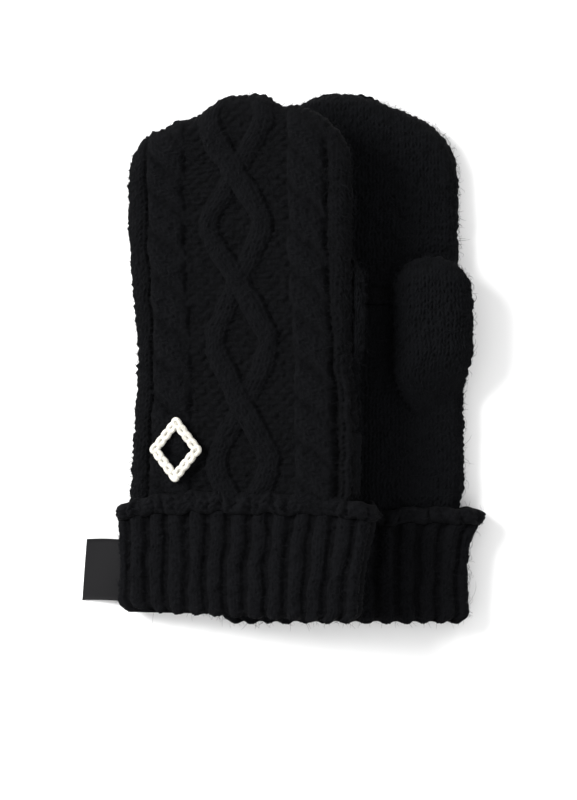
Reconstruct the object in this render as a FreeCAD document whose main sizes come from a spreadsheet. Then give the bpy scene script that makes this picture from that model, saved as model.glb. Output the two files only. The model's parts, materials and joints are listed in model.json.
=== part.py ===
import FreeCAD, Part
import math
import os
import Sketcher
from FreeCAD import Placement, Rotation, Vector

# A pair of convertible flip-top mittens, knitted in chunky wool and laid flat: the right one lies
# on its back, palm up, and the left one lies palm down and leans on it. Each mitten is a flattened
# tube. Its own frame has X across the hand towards the thumb side, Y from the cuff's fold to the
# fingertips, and Z out of the back of the hand, with the origin in the middle of the fold.
# The left mitten is modelled in that frame, and the right one is its mirror image in Z.

DIMENSIONS = {
    # the flattened hand
    "hand_half_width": 53.5,
    "back_height": 6.0,
    "palm_height": 7.0,
    "side_flat": 0.1,
    "knit_wall": 3.0,
    "hand_start": 55.0,
    "knuckle_line": 150.0,
    "flip_gap": 0.3,
    # the flip-top's rounded end
    "dome_start": 211.0,
    "dome_corner": 26.0,
    "dome_drop": 45.0,
    "hem_length": 8.0,
    # the half fingers
    "finger_start": 141.0,
    "finger_half_width": 11.6,
    "finger_pitch": 23.4,
    "finger_back": 2.9,
    "finger_palm": 3.9,
    "finger_wall": 1.2,
    "finger_index_end": 171.0,
    "finger_middle_end": 175.0,
    "finger_ring_end": 172.0,
    "finger_little_end": 167.0,
    # the cuff: a turned-up outer layer over the wrist rib
    "cuff_half_width": 58.5,
    "cuff_palm": 7.6,
    "cuff_wall": 1.9,
    "cuff_gap": 0.3,
    "wrist_wall": 1.7,
    "fold_depth": 2.6,
    "cuff_roll_start": 47.5,
    "cuff_top": 53.5,
    # the thumb, which lies along the palm
    "thumb_width": 36.0,
    "thumb_length": 77.0,
    "thumb_height": 10.0,
    "thumb_wall": 2.0,
    "thumb_tip_corner": 16.5,
    "thumb_base_corner": 12.0,
    "thumb_round": 4.0,
    "thumb_centre": 41.0,
    "thumb_start": 93.0,
    "thumb_hole_radius": 9.0,
    "thumb_hole_across": 38.0,
    "thumb_hole_along": 109.0,
    # the chain-stitched lozenge on the left back
    "motif_half_width": 13.0,
    "motif_half_length": 15.0,
    "motif_stroke": 5.0,
    "motif_height": 1.4,
    "motif_across": -28.8,
    "motif_along": 79.7,
    # the woven label at the left cuff's side
    "label_width": 17.5,
    "label_length": 29.0,
    "label_thickness": 0.8,
    "label_along": 8.0,
    # how the pair lies
    "left_across": -20.0,
    "left_along": -121.5,
    "left_rise": 22.85,
    "left_lean": 17.1,
    "right_across": 29.4,
    "right_along": -124.0,
    "centre_across": 2.38,
    "centre_along": 0.38,
}

SHEET = "dims"
PARTS = "parts"
# how far a cutting tool runs past what it cuts
OVERRUN = 20.0
# two coordinates this near are the same
CLOSE = 1e-4
# each half finger's place, in finger pitches from the hand's middle
FINGERS = {"finger_index": 1.5, "finger_middle": 0.5, "finger_ring": -0.5, "finger_little": -1.5}
# the sketcher's numbers for an edge's points, a sketch's origin and its upright axis
BEGIN, END, CENTRE = 1, 2, 3
ORIGIN = (-1, 1)
UPRIGHT_AXIS = -2


def bound(expression):
    """The expression with every alias read from the sheet."""
    words = expression.replace("(", "( ").replace(")", " )").split()
    return " ".join(f"{SHEET}.{word}" if word in DIMENSIONS else word for word in words)


def bind(item, **expressions):
    """Sets each property, such as Placement__Base__x, to its expression."""
    for target, expression in expressions.items():
        item.setExpression(target.replace("__", "."), bound(expression))


def make_sheet(doc):
    sheet = doc.addObject("Spreadsheet::Sheet", SHEET)
    for row, (alias, number) in enumerate(DIMENSIONS.items(), start=1):
        sheet.set(f"A{row}", alias.replace("_", " "))
        sheet.set(f"B{row}", str(number))
        sheet.setAlias(f"B{row}", alias)
    doc.recompute()


def round_edges(body, name, base, chosen, radius):
    """Rounds the base feature's edges for which chosen(edge) is true."""
    names = [f"Edge{i}" for i, edge in enumerate(base.Shape.Edges, start=1) if chosen(edge)]
    rounded = body.newObject("PartDesign::Fillet", name)
    rounded.Base = (base, names)
    bind(rounded, Radius=radius)
    body.Document.recompute()
    return rounded


def lies_at(edge, axis, place):
    """Whether the whole edge has this coordinate."""
    box = edge.BoundBox
    low, high = {"x": (box.XMin, box.XMax), "y": (box.YMin, box.YMax), "z": (box.ZMin, box.ZMax)}[axis]
    return abs(low - place) < CLOSE and abs(high - place) < CLOSE


def set_corners(box, low, high):
    """Binds a box's place and sizes to its two corners, each three expressions."""
    for size, base, start, end in zip(("Length", "Width", "Height"), "xyz", low, high):
        bind(box, **{size: f"( {end} ) - ( {start} )", f"Placement__Base__{base}": start})


def body_block(doc, name, low, high):
    """A box between two corners, as the first feature of a body."""
    body = doc.addObject("PartDesign::Body", name)
    box = body.newObject("PartDesign::AdditiveBox", f"{name}_box")
    set_corners(box, low, high)
    doc.recompute()
    return body, box


def sketch_on_floor(body, name, height):
    """A new sketch parallel to the body's XY plane, at this height."""
    sketch = body.newObject("Sketcher::SketchObject", name)
    plane = next(feature for feature in body.Origin.OriginFeatures if feature.Role == "XY_Plane")
    sketch.AttachmentSupport = [(plane, "")]
    sketch.MapMode = "FlatFace"
    bind(sketch, AttachmentOffset__Base__z=height)
    return sketch


def drive(sketch, label, kind, points, size, expression):
    """Adds a named dimension whose size comes from the sheet."""
    number = sketch.addConstraint(Sketcher.Constraint(kind, *points, size))
    sketch.renameConstraint(number, label)
    bind(sketch, **{f"Constraints__{label}": expression})


def tube_block(doc, name, half, back, palm, start, end, middle="0"):
    """A flattened tube's outside: a block along Y with rounded sides."""
    low = (f"{middle} - ( {half} )", start, f"0 - ( {palm} )")
    high = (f"{middle} + {half}", end, back)
    body, box = body_block(doc, name, low, high)
    top, bottom = box.Shape.BoundBox.ZMax, box.Shape.BoundBox.ZMin

    def along(edge):
        return edge.BoundBox.YLength > edge.BoundBox.XLength + edge.BoundBox.ZLength

    upper = round_edges(
        body, f"{name}_upper", box, lambda e: along(e) and lies_at(e, "z", top), f"{back} - side_flat"
    )
    round_edges(
        body, f"{name}_lower", upper, lambda e: along(e) and lies_at(e, "z", bottom), f"{palm} - side_flat"
    )
    return body


def dome_block(doc, name, inset, start):
    """The flip-top's outside or inside: the hand's width, closed by a dome of three arcs."""
    body = doc.addObject("PartDesign::Body", name)
    sketch = sketch_on_floor(body, f"{name}_outline", f"{inset} - palm_height")

    wall = DIMENSIONS.get(inset, 0.0)
    half = DIMENSIONS["hand_half_width"] - wall
    corner = DIMENSIONS["dome_corner"] - wall
    shoulder = DIMENSIONS["dome_start"]
    first = DIMENSIONS["knuckle_line"] + (DIMENSIONS["flip_gap"] if wall == 0 else -OVERRUN)
    crown_centre = Vector(0, shoulder - DIMENSIONS["dome_drop"], 0)
    right_centre = Vector(half - corner, shoulder, 0)
    left_centre = Vector(corner - half, shoulder, 0)
    crown = corner + (right_centre - crown_centre).Length
    turn = (right_centre - crown_centre).getAngle(Vector(1, 0, 0))
    axis = Vector(0, 0, 1)
    sketch.addGeometry(
        [
            Part.LineSegment(Vector(-half, first, 0), Vector(half, first, 0)),
            Part.LineSegment(Vector(half, first, 0), Vector(half, shoulder, 0)),
            Part.ArcOfCircle(Part.Circle(right_centre, axis, corner), 0, turn),
            Part.ArcOfCircle(Part.Circle(crown_centre, axis, crown), turn, math.pi - turn),
            Part.ArcOfCircle(Part.Circle(left_centre, axis, corner), math.pi - turn, math.pi),
            Part.LineSegment(Vector(-half, shoulder, 0), Vector(-half, first, 0)),
        ],
        False,
    )
    hem, right, right_arc, crown_arc, left_arc, left = range(6)
    sketch.addConstraint(
        [
            Sketcher.Constraint("Coincident", hem, END, right, BEGIN),
            Sketcher.Constraint("Tangent", right, END, right_arc, BEGIN),
            Sketcher.Constraint("Tangent", right_arc, END, crown_arc, BEGIN),
            Sketcher.Constraint("Tangent", crown_arc, END, left_arc, BEGIN),
            Sketcher.Constraint("Tangent", left_arc, END, left, BEGIN),
            Sketcher.Constraint("Coincident", left, END, hem, BEGIN),
            Sketcher.Constraint("Horizontal", hem),
            Sketcher.Constraint("Vertical", right),
            Sketcher.Constraint("Vertical", left),
        ]
    )
    inner_half = f"hand_half_width - {inset}"
    inner_corner = f"dome_corner - {inset}"
    crown_along = "dome_start - dome_drop"
    for dimension in [
        ("across", "DistanceX", (*ORIGIN, hem, END), half, inner_half),
        ("width", "DistanceX", (hem, BEGIN, hem, END), 2 * half, f"2 * ( {inner_half} )"),
        ("opening", "DistanceY", (*ORIGIN, hem, END), first, start),
        ("shoulder", "DistanceY", (*ORIGIN, right_arc, CENTRE), shoulder, "dome_start"),
        ("corner_right", "Radius", (right_arc,), corner, inner_corner),
        ("corner_left", "Radius", (left_arc,), corner, inner_corner),
        ("crown", "DistanceY", (*ORIGIN, crown_arc, CENTRE), crown_centre.y, crown_along),
    ]:
        drive(sketch, *dimension)
    sketch.addConstraint(Sketcher.Constraint("PointOnObject", crown_arc, CENTRE, UPRIGHT_AXIS))

    pad = body.newObject("PartDesign::Pad", f"{name}_pad")
    pad.Profile = sketch
    bind(pad, Length=f"back_height + palm_height - 2 * {inset}")
    doc.recompute()
    box = pad.Shape.BoundBox
    top, bottom, opening = box.ZMax, box.ZMin, box.YMin
    upper = round_edges(
        body, f"{name}_upper", pad,
        lambda e: lies_at(e, "z", top) and not lies_at(e, "y", opening),
        f"back_height - {inset} - side_flat",
    )
    round_edges(
        body, f"{name}_lower", upper,
        lambda e: lies_at(e, "z", bottom) and not lies_at(e, "y", opening),
        f"palm_height - {inset} - side_flat",
    )
    return body


def boolean(doc, kind, name, base, tool):
    result = doc.addObject(f"Part::{kind}", name)
    result.Base = base
    result.Tool = tool
    return result


def common(doc, name, *shapes):
    result = doc.addObject("Part::MultiCommon", name)
    result.Shapes = list(shapes)
    return result


def across_slab(doc, name, y_low, y_high, z_low, z_high):
    """A slab as wide as the whole mitten, to keep one stretch of a shell."""
    reach = f"cuff_half_width + {OVERRUN}"
    slab = doc.addObject("Part::Box", name)
    set_corners(slab, (f"0 - ( {reach} )", y_low, z_low), (reach, y_high, z_high))
    return slab


BACK_SIDE = ("0", f"back_height + {OVERRUN}")
PALM_SIDE = (f"0 - palm_height - {OVERRUN}", "0")


def make_hand(doc):
    half, back, palm = "hand_half_width", "back_height", "palm_height"
    outside = tube_block(doc, "hand_outside", half, back, palm, "hand_start", "knuckle_line")
    inside = tube_block(
        doc, "hand_inside", f"{half} - knit_wall", f"{back} - knit_wall", f"{palm} - knit_wall",
        f"hand_start - {OVERRUN}", f"knuckle_line + {OVERRUN}",
    )
    shell = boolean(doc, "Cut", "hand_shell", outside, inside)
    hole = doc.addObject("Part::Cylinder", "thumb_hole")
    bind(
        hole,
        Radius="thumb_hole_radius",
        Height="palm_height + thumb_height",
        Placement__Base__x="thumb_hole_across",
        Placement__Base__y="thumb_hole_along",
        Placement__Base__z="0 - palm_height - thumb_height / 2",
    )
    spans = ("hand_start", "knuckle_line")
    back_piece = common(doc, "hand_back", shell, across_slab(doc, "hand_back_region", *spans, *BACK_SIDE))
    palm_half = common(doc, "palm_half", shell, across_slab(doc, "palm_region", *spans, *PALM_SIDE))
    palm_piece = boolean(doc, "Cut", "hand_palm", palm_half, hole)
    return [back_piece, palm_piece], hole


def make_cap(doc):
    outside = dome_block(doc, "cap_outside", "0", "knuckle_line + flip_gap")
    inside = dome_block(doc, "cap_inside", "knit_wall", f"knuckle_line - {OVERRUN}")
    shell = boolean(doc, "Cut", "cap_shell", outside, inside)
    start = "knuckle_line + flip_gap"
    hem_end = "knuckle_line + hem_length"
    end = "dome_start + hand_half_width"
    regions = {
        "cap_back": (start, end, *BACK_SIDE),
        "cap_palm": (hem_end, end, *PALM_SIDE),
        "cap_hem": (start, hem_end, *PALM_SIDE),
    }
    return [
        common(doc, name, shell, across_slab(doc, f"{name}_region", *region))
        for name, region in regions.items()
    ]


def make_fingers(doc):
    pieces = []
    for name, step in FINGERS.items():
        middle = f"{step} * finger_pitch"
        outside = tube_block(
            doc, f"{name}_outside", "finger_half_width", "finger_back", "finger_palm",
            "finger_start", f"{name}_end", middle,
        )
        inside = tube_block(
            doc, f"{name}_inside", "finger_half_width - finger_wall", "finger_back - finger_wall",
            "finger_palm - finger_wall", f"finger_start - {OVERRUN}", f"{name}_end + {OVERRUN}", middle,
        )
        pieces.append(boolean(doc, "Cut", name, outside, inside))
    return pieces


def thumb_block(doc, name, inset):
    """The thumb's outside or inside: a mitt-shaped pod below the palm."""
    side = f"thumb_width / 2 - {inset}"
    ceiling = "0 - palm_height - flip_gap"
    low = (
        f"thumb_centre - ( {side} )",
        f"thumb_start + {inset}",
        f"{ceiling} - thumb_height + {inset}",
    )
    high = (f"thumb_centre + {side}", f"thumb_start + thumb_length - {inset}", f"{ceiling} - {inset}")
    body, box = body_block(doc, name, low, high)
    bounds = box.Shape.BoundBox

    def upright_at(place):
        return lambda e: e.BoundBox.ZLength > CLOSE and lies_at(e, "y", place)

    tip = round_edges(
        body, f"{name}_tip", box, upright_at(bounds.YMax), f"thumb_tip_corner - {inset}"
    )
    base = round_edges(
        body, f"{name}_base", tip, upright_at(bounds.YMin), f"thumb_base_corner - {inset}"
    )
    round_edges(
        body, f"{name}_rim", base,
        lambda e: lies_at(e, "z", bounds.ZMax) or lies_at(e, "z", bounds.ZMin),
        f"thumb_round - {inset}",
    )
    return body


def make_thumb(doc, hole):
    outside = thumb_block(doc, "thumb_outside", "0")
    inside = thumb_block(doc, "thumb_inside", "thumb_wall")
    pod = boolean(doc, "Cut", "thumb_pod", outside, inside)
    return boolean(doc, "Cut", "thumb", pod, hole)


def make_wrist(doc):
    layer = "cuff_wall + cuff_gap"
    sizes = [f"cuff_half_width - ( {layer} )", f"back_height - ( {layer} )", f"cuff_palm - ( {layer} )"]
    outside = tube_block(doc, "wrist_outside", *sizes, "fold_depth + cuff_gap", "hand_start")
    inner_sizes = [f"{size} - wrist_wall" for size in sizes]
    inside = tube_block(
        doc, "wrist_inside", *inner_sizes, f"0 - {OVERRUN}", f"hand_start + {OVERRUN}"
    )
    return boolean(doc, "Cut", "wrist_rib", outside, inside), inside


def make_cuff(doc, wrist_inside):
    sizes = ["cuff_half_width", "back_height", "cuff_palm"]
    outside = tube_block(doc, "cuff_outside", *sizes, "0", "cuff_top")
    inside = tube_block(
        doc, "cuff_inside", *[f"{size} - cuff_wall" for size in sizes],
        "fold_depth", f"cuff_top + {OVERRUN}",
    )
    hollow = boolean(doc, "Cut", "cuff_hollow", outside, inside)
    layer = boolean(doc, "Cut", "cuff_layer", hollow, wrist_inside)
    depth = (f"0 - cuff_palm - {OVERRUN}", f"back_height + {OVERRUN}")
    regions = {
        "cuff_turnup": ("0", "cuff_roll_start", *depth),
        "cuff_rolled_edge": ("cuff_roll_start", "cuff_top", *depth),
    }
    return [
        common(doc, name, layer, across_slab(doc, f"{name}_region", *region))
        for name, region in regions.items()
    ]


def make_label(doc):
    edge = "0 - cuff_half_width - cuff_gap"
    low = (f"{edge} - label_width", "label_along", "0")
    high = (edge, "label_along + label_length", "label_thickness")
    body, box = body_block(doc, "label", low, high)
    return body


def lozenge(doc, name, inset):
    """A flat block whose plan is the motif's lozenge: its outside, or its inside with inset true."""
    body = doc.addObject("PartDesign::Body", name)
    sketch = sketch_on_floor(body, f"{name}_outline", "back_height")
    shrink = DIMENSIONS["motif_stroke"] if inset else 0.0
    across, along = DIMENSIONS["motif_across"], DIMENSIONS["motif_along"]
    wide = DIMENSIONS["motif_half_width"] - shrink
    tall = DIMENSIONS["motif_half_length"] - shrink
    corners = [
        Vector(across + wide, along, 0),
        Vector(across, along + tall, 0),
        Vector(across - wide, along, 0),
        Vector(across, along - tall, 0),
    ]
    sketch.addGeometry([Part.LineSegment(a, b) for a, b in zip(corners, corners[1:] + corners[:1])], False)
    for side in range(4):
        sketch.addConstraint(Sketcher.Constraint("Coincident", side, END, (side + 1) % 4, BEGIN))
    stroke = "motif_stroke" if inset else "0"
    wide_name = f"( motif_half_width - {stroke} )"
    tall_name = f"( motif_half_length - {stroke} )"
    places = [
        ("right", f"motif_across + {wide_name}", "motif_along"),
        ("top", "motif_across", f"motif_along + {tall_name}"),
        ("left", f"motif_across - {wide_name}", "motif_along"),
        ("low", "motif_across", f"motif_along - {tall_name}"),
    ]
    for side, (corner, (label, x_place, y_place)) in enumerate(zip(corners, places)):
        points = (*ORIGIN, side, BEGIN)
        drive(sketch, f"{label}_x", "DistanceX", points, corner.x, x_place)
        drive(sketch, f"{label}_y", "DistanceY", points, corner.y, y_place)
    pad = body.newObject("PartDesign::Pad", f"{name}_pad")
    pad.Profile = sketch
    bind(pad, Length="motif_height")
    doc.recompute()
    return body


def make_motif(doc):
    outer = lozenge(doc, "motif_outer", False)
    inner = lozenge(doc, "motif_inner", True)
    return boolean(doc, "Cut", "motif", outer, inner)


def mirrored(doc, name, source, left_place, right_place):
    """The right mitten's piece: the left one mirrored in its own Z, then laid at the right's place."""
    image = doc.addObject("Part::Mirroring", name)
    image.Source = source
    image.Base = left_place.Base
    image.Normal = left_place.Rotation.multVec(Vector(0, 0, 1))
    image.Placement = right_place * left_place.inverse()
    return image


def lay_places(sheet):
    """Where the two mittens' frames lie, with the pair's middle over the origin."""
    shift = Vector(sheet.centre_across, sheet.centre_along, 0)
    lean = Rotation(Vector(0, 1, 0), -sheet.left_lean)
    left = Placement(Vector(sheet.left_across, sheet.left_along, sheet.left_rise) + shift, lean)
    flat = Rotation()
    right = Placement(Vector(sheet.right_across, sheet.right_along, sheet.back_height) + shift, flat)
    return left, right


def main():
    doc = FreeCAD.newDocument("mittens")
    make_sheet(doc)
    hand_pieces, hole = make_hand(doc)
    wrist, wrist_inside = make_wrist(doc)
    paired = hand_pieces + make_cap(doc) + make_fingers(doc)
    paired += [make_thumb(doc, hole), wrist] + make_cuff(doc, wrist_inside)
    left_only = [make_label(doc), make_motif(doc)]
    doc.recompute()

    left_place, right_place = lay_places(doc.getObject(SHEET))
    subparts = {f"left_{piece.Name}": piece for piece in paired + left_only}
    for piece in subparts.values():
        piece.Placement = left_place
    for piece in paired:
        name = f"right_{piece.Name}"
        subparts[name] = mirrored(doc, name, piece, left_place, right_place)
    for node, piece in subparts.items():
        piece.Label = node
    doc.recompute()

    for item in doc.Objects:
        assert "Invalid" not in item.State and "Error" not in item.State, (item.Name, item.State)
    os.makedirs(PARTS, exist_ok=True)
    whole = FreeCAD.BoundBox()
    for node, piece in subparts.items():
        shape = piece.Shape
        assert not shape.isNull() and shape.isValid() and shape.Volume > 0, node
        shape.exportStep(f"{PARTS}/{node}.step")
        box = shape.optimalBoundingBox(False)
        whole.add(box)
        print(node, len(shape.Solids), round(shape.Volume), box)
    print("whole", whole)


main()
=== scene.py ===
import json
import math
from collections import namedtuple
from types import SimpleNamespace

import bmesh
import bpy
import numpy as np
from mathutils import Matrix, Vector


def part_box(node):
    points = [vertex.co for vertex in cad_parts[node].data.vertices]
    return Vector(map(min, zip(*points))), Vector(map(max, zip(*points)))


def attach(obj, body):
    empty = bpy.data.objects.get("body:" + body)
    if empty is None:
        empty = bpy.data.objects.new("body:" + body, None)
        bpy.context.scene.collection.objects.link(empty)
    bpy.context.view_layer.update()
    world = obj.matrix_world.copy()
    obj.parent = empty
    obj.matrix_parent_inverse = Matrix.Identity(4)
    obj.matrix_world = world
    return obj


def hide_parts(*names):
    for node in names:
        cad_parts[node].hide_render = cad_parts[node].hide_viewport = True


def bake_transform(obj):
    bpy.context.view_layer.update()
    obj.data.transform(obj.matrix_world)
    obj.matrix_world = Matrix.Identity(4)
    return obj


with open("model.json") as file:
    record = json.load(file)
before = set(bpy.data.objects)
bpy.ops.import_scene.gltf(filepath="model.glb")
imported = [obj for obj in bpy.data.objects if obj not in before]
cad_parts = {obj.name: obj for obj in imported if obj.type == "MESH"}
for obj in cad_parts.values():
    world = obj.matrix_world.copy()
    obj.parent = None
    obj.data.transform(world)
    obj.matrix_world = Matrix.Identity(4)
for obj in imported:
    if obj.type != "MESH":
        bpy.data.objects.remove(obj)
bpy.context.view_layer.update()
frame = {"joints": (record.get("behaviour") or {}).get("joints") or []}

# A pair of chunky knitted mittens. Shapes are worked out in millimetres, in each mitten's own frame:
# u across the hand towards the thumb side, v from the cuff's fold to the fingertips, w out of the back
# of the hand. Every knitted surface is a fine grid over a flattened tube, raised by real stitches.
MM = 0.001
FLOOR_CLEARANCE = 0.15

# the hand's outline past the knuckles, and where its knitting starts inside the cuff
DOME_START = 211.0
DOME_CORNER = 26.0
DOME_DROP = 45.0
PANEL_START = 44.0
HEM_GAP = 0.2
HEM_LENGTH = 8.0
FLIP_BLEND = 9.0

# how far each mitten settles out of its plain outline
LEFT_WAIST = 4.6
LEFT_WAIST_AT = 122.0
LEFT_WAIST_REACH = (52, 38)
LEFT_SLUMP = 6.2
LEFT_SLUMP_EASED = 0.45
LEFT_NOTCH = 2.2
LEFT_FULLNESS = 2.4
LEFT_PALM_FULLNESS = 2.6
RIGHT_SPREAD = 1.4
RIGHT_NARROWING = 1.2
RIGHT_RISE = 0.9
RIGHT_PEAK = 3.8

# the knitting's gauge: how far apart a grid's points are, and how large and deep the stitches
BACK_SAMPLE = 0.5
PALM_SAMPLE = 0.42
INNER_STRIDE = 4
COLUMNS_PER_HALF = 16
ROW = 2.7
LEG_LEAN = 1.1
STITCH_RELIEF = 1.15
MOSS_RELIEF = 0.95
HEM_RELIEF = 0.7
FUZZ_RELIEF = 0.4
COARSE_FUZZ = 0.8
COARSE_SHIFT = 0.75
FINE_SHIFT = 0.3
EDGE_FUZZ = 0.6
FABRIC = 2.2
PALM_INSET = 0.6

# How high a stitch is, as shares: where it joins the next, at its least, and how much it may gain.
# A fullness is the power that rounds it, and tightness is how much smaller a bump is than its cell.
STITCH_JOIN = 0.3
STITCH_FULLNESS = 0.7
STITCH_LEAST = 0.65
STITCH_GAIN = 0.5
MOSS_TIGHTNESS = (2.6, 2.1)
MOSS_LEAST = 0.55
MOSS_GAIN = 0.6

# near its edge the knitting is stretched flatter, further in and more so round the tip
TIP_BLEND = 16.0
EDGE_REACH = 4.0
TIP_EDGE_REACH = 9.0
EDGE_FLATTENED = 0.25
TIP_FLATTENED = 0.4
TUCK_DEPTH = 2.6
TUCK_TOP = 56.0
TUCK_LENGTH = 9.0

# loose fibres on the wool. Their bow and rise are shares of their length, and every so many is a stray.
FIBRES_PER_SQUARE_CM = 20.0
SQUARE_MM_PER_SQUARE_CM = 100
FIBRE_MARGIN = 2
FIBRE_LENGTH = (1.2, 5.5)
FIBRE_BOW = (-0.5, 0.5)
FIBRE_RISE = (0.12, 0.5)
FIBRE_CURL = 0.8
FIBRE_RADIUS = 0.075
FIBRE_TAPER = 0.6
FIBRE_SIDES = 3
FIBRE_STEPS = 5
STRAY_EVERY = 45
STRAY_STRETCH = 2.2

# the cables on the back
CABLE_RELIEF = 2.8
CROSSING_LIFT = 1.1
NO_CABLE = -10.0
ROPE_PITCH = 19.5
ROPE_HALF = 9.0
ROPE_SIDE = 0.98
ROPE_LEAN = math.radians(35)
ROPE_COLUMNS = 3
ROPE_ROUNDNESS = 0.9
ROPE_RISE = 0.4
ROPE_STITCH = 1.3
LEFT_ROPE = -34.7
RIGHT_ROPE = 34.0
LOZENGE_CENTRE = -0.2
LOZENGE_SWING = 13.2
LOZENGE_HALF = 5.3
LOZENGE_COLUMNS = 3
LOZENGE_CROSSINGS = (47.0, 100.0, 158.5, 209.0, 262.0)
LOZENGE_SHARPNESS = 0.955
PATTERN_DRIFT = 3.6
SIDE_PANEL = 44.6
SIDE_PANEL_RISE = 0.8
GROOVE_DEPTH = 0.9
GROOVE_WIDTH = 1.1
GUSSET_EDGE = 48.0
GUSSET_PITCH = 3.2
GUSSET_RELIEF = 1.7
GUSSET_TOP = 110.0

# the thumb
THUMB_CENTRE = 41.0
THUMB_HALF = 18.0
THUMB_BASE = 88.0
THUMB_DOME_START = 157.2
THUMB_CORNER = 14.0
THUMB_DROP = 7.0
THUMB_MID = -12.3
THUMB_HEIGHT = 4.6
THUMB_FREE_HEIGHT = 7.5
THUMB_EDGE = 13.0
THUMB_EDGE_LIFT = 9.5
THUMB_EDGE_BLEND = 8.0
THUMB_COLUMNS_PER_HALF = 7
THUMB_ROOT = 104.0
THUMB_BLEND = 32.0
THUMB_OUTER_BLEND = 26.0
THUMB_TAPER = 11.0
THUMB_OUTER_TAPER = 6.0
THUMB_SINK = 3.6
THUMB_ROOT_SHARE = 0.1
THUMB_HINGE_BLEND = (94.0, 124.0)

# the cuff
RIB_PITCH = 9.6
RIB_DEPTH = 2.15
RIB_HALF = 0.36
RIB_COLUMNS = 3.2
RIB_WANDER = 1.1
SCALLOP = 0.55
SCALLOP_LENGTH = 8
SIDE_DROOP = 0.9
CUFF_PROUD = 1.2
ROLL_PROUD = 1.6
FAN_POWER = 1.5
FOLD_ROUNDING = 4.4
FOLD_LENGTH = 6
FOLD_RISE_FROM = 40
FOLD_RISE_LENGTH = 90
LIP_LENGTH = 4.0
VALLEY_THINNED = 1.9
RIDGE_SPARED = 0.9
ROLL_START = 47.5
ROLL_BULGE = 1.2
ROLL_WANDER = 1.5
ROLL_SUNK = 0.3
ROLL_PRESSED = 0.25
LUMP_WIDTH = 6.4
LUMP_TIGHTNESS = (2.1, 1.6)
LUMP_SHIFT = (3.0, 0.25)
LUMP_FULLNESS = 0.8
LUMP_LEAST = 1.1
LUMP_GAIN = 1.7
LUMP_BUMPS = 0.7
LUMP_SWELL = 0.9
CUFF_LAYER = 1.9
CUFF_GAP = 0.3

# the wrist inside the cuff, and the half fingers
WRIST_SPAN = (3.0, 51.0)
WRIST_LAYER = 1.7
WRIST_SAMPLE = 0.8
WRIST_COLUMNS = 3.4
WRIST_RIB = 0.9
WRIST_STITCH = 0.4
WRIST_INSET = 1.2
WRIST_TUCK = 2.0
FINGERS = ("finger_index", "finger_middle", "finger_ring", "finger_little")
FINGER_LAYER = 1.2
FINGER_SAMPLE = 0.7
FINGER_RIB_PITCH = 5.0
FINGER_RIB = 0.7
FINGER_STITCH = 0.3
FINGER_INSET = 0.2
CAST_OFF_RIM = 0.4
CAST_OFF_FROM_END = 1.5


def smoothstep(x):
    """A soft step from 0 to 1 as x goes from 0 to 1."""
    x = np.clip(x, 0, 1)
    return x * x * (3 - 2 * x)


def rising(x, start, length):
    """0 up to the start, and 1 from this length past it."""
    return smoothstep((x - start) / length)


def hump(x, middle, width):
    """1 in the middle, and nearly 0 two widths away."""
    return np.exp(-(((x - middle) / width) ** 2))


def dome(x, power=2):
    """1 where x is 0, falling ever faster to 0 where x is 1."""
    return np.clip(1 - x**power, 0, 1)


def ripple(arc, length, count):
    """This many even waves from 0 to 1 round a section."""
    return 0.5 + 0.5 * np.cos(2 * np.pi * arc * count / length)


def joint(name):
    """One of the frame's joints."""
    return next(j for j in frame["joints"] if j["name"] == name)


def hinge_mm(name):
    """A joint's place in mm."""
    return np.array(joint(name)["pos_m"]) / MM


def box_mm(node):
    """A CAD node's lowest and highest corner in mm."""
    low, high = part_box(node)
    return np.array(low) / MM, np.array(high) / MM


class Mitten:
    """One mitten's own frame, how it lies, and how its cuff does."""

    along = np.array((0.0, 1.0, 0.0))

    def __init__(self, side, across, out, origin, lie, cuff, relief_inset, shows_gusset):
        self.side = side
        self.across = np.array(across, float)
        self.out = np.array(out, float)
        self.origin = origin
        self.lie = lie
        self.cuff = cuff
        self.relief_inset = relief_inset
        self.shows_gusset = shows_gusset

    def place(self, u, v, w):
        """World points in metres, settled as the soft mitten lies and kept clear of the floor."""
        u, v = self.lie(u, v, w)
        points = (
            self.origin
            + u[..., None] * self.across
            + v[..., None] * self.along
            + w[..., None] * self.out
        )
        points[..., 2] = np.maximum(points[..., 2], FLOOR_CLEARANCE)
        return points * MM

    def name(self, piece):
        return f"{self.side}_{piece}"


def left_lie(u, v, w):
    """The left mitten has a slight waist, a slumped and notched dome, and a full thumb side."""
    outer_side = np.clip(-u / HALF_WIDTH, 0, 1)
    reach = np.where(v < LEFT_WAIST_AT, *LEFT_WAIST_REACH)
    waist = LEFT_WAIST * hump(v, LEFT_WAIST_AT, reach) * outer_side**2
    slump = LEFT_SLUMP * rising(v, start=190, length=45) * rising(-u, start=2, length=20)
    slump = slump * (1 - LEFT_SLUMP_EASED * rising(-u, start=34, length=14))
    notch = LEFT_NOTCH * rising(v, start=215, length=25) * hump(u, middle=21, width=5)
    towards_palm = rising(-w, start=0.5, length=5)
    fullness = rising(u, start=42, length=10) * (LEFT_FULLNESS + LEFT_PALM_FULLNESS * towards_palm)
    fullness = fullness * rising(v, start=52, length=8) * (1 - rising(v, start=100, length=22))
    return u + waist + fullness, v - slump - notch


def right_lie(u, v, w):
    """The right mitten spreads above its cuff, narrows further up and comes to a blunt peak."""
    side = np.clip(u / HALF_WIDTH, -1, 1.2) ** 3
    low = 1 - rising(v, start=95, length=40)
    spread = RIGHT_SPREAD * low * rising(v, start=55, length=10)
    spread = spread - RIGHT_NARROWING * rising(v, start=150, length=30)
    peak = RIGHT_RISE + RIGHT_PEAK * hump(u, middle=-3, width=21)
    return u + spread * side, v + rising(v, start=195, length=48) * peak


def left_proud(u, normal_w):
    """1 on the side of the left cuff that nothing lies against, where the wool can stand proud."""
    return smoothstep(normal_w * 2)


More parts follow.
